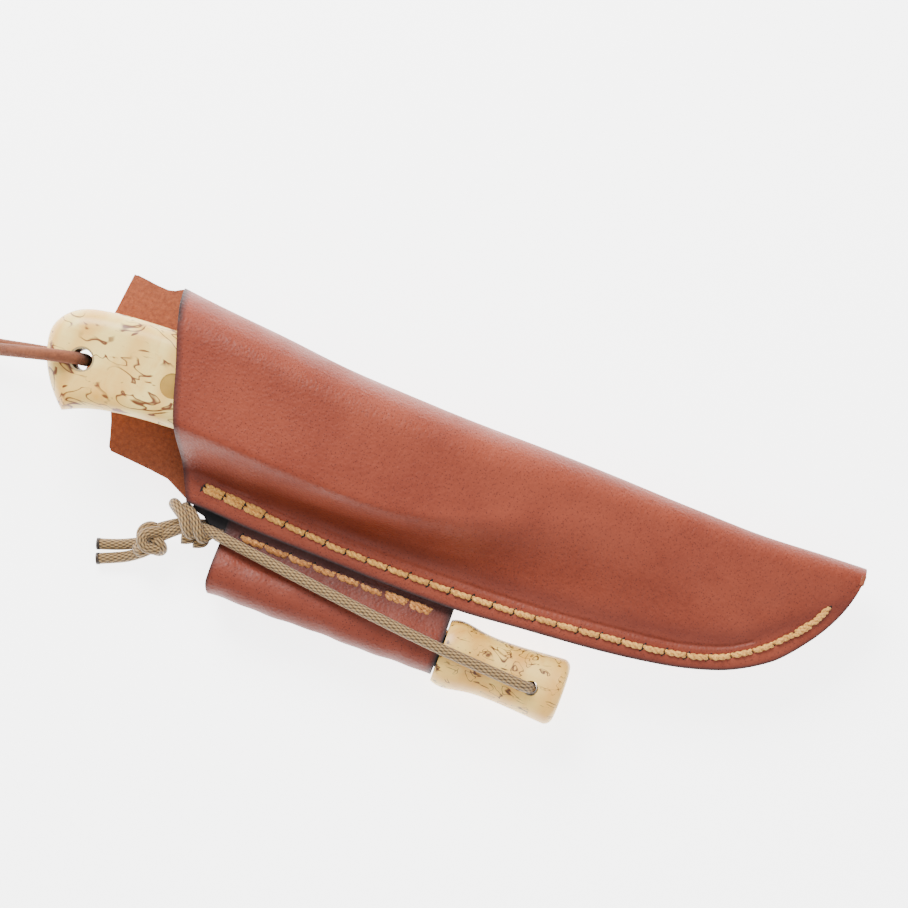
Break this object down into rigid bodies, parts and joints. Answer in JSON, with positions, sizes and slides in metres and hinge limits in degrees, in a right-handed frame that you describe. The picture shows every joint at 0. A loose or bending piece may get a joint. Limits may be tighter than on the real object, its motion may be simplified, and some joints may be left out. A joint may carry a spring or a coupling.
{
  "type": "whittling knife with sheath and firesteel",
  "caption": "Full-tang whittling knife with birch scales in a stitched leather belt sheath, with a ferro rod on an elastic cord in a side loop.",
  "frame": {"origin": "outer face of the belt strap, under the mouth of the sheath", "axes": "+X from the mouth to the tip of the sheath, +Y towards the folded edge, +Z away from the belt"},
  "size_m": [0.3174, 0.0829, 0.0388],
  "materials": {
    "sheath_leather": "waxed",
    "loop_leather": "waxed",
    "thread": "waxed linen",
    "birch": "oiled",
    "firesteel_birch": "oiled",
    "blade_steel": "satin",
    "lanyard_metal": "polished",
    "brass": "satin",
    "ferro": "matt",
    "elastic": "braided",
    "thong": "suede"
  },
  "bodies": {
    "sheath": {"sheath_leather": "sheath_leather", "welt": "sheath_leather", "firesteel_loop": "loop_leather", "main_seam_thread": "thread", "loop_seam_thread": "thread", "belt_loop_thread": "thread", "sheath_knot": "elastic", "cord_neck": "elastic", "end_knot": "elastic", "cord_tail_long": "elastic", "cord_tail_short": "elastic"},
    "knife": {"blade": "blade_steel", "front_scale": "birch", "back_scale": "birch", "lanyard_tube": "lanyard_metal", "front_pin": "brass", "rear_pin": "brass", "thong_front_strand": "thong", "thong_back_strand": "thong", "thong_knot": "thong"},
    "firesteel": {"ferro_rod": "ferro", "firesteel_handle": "firesteel_birch", "cord_front_strand": "elastic", "cord_back_strand": "elastic"}
  },
  "joints": [
    {"name": "knife_draw", "type": "slide", "parent": "sheath", "child": "knife", "axis": [-0.9985, 0, 0.0555], "range_m": [0, 0.19]},
    {"name": "firesteel_pull", "type": "slide", "parent": "sheath", "child": "firesteel", "axis": [0.9998, -0.0192, 0], "range_m": [0, 0.07], "deforming": ["cord_front_strand", "cord_back_strand"]}
  ]
}
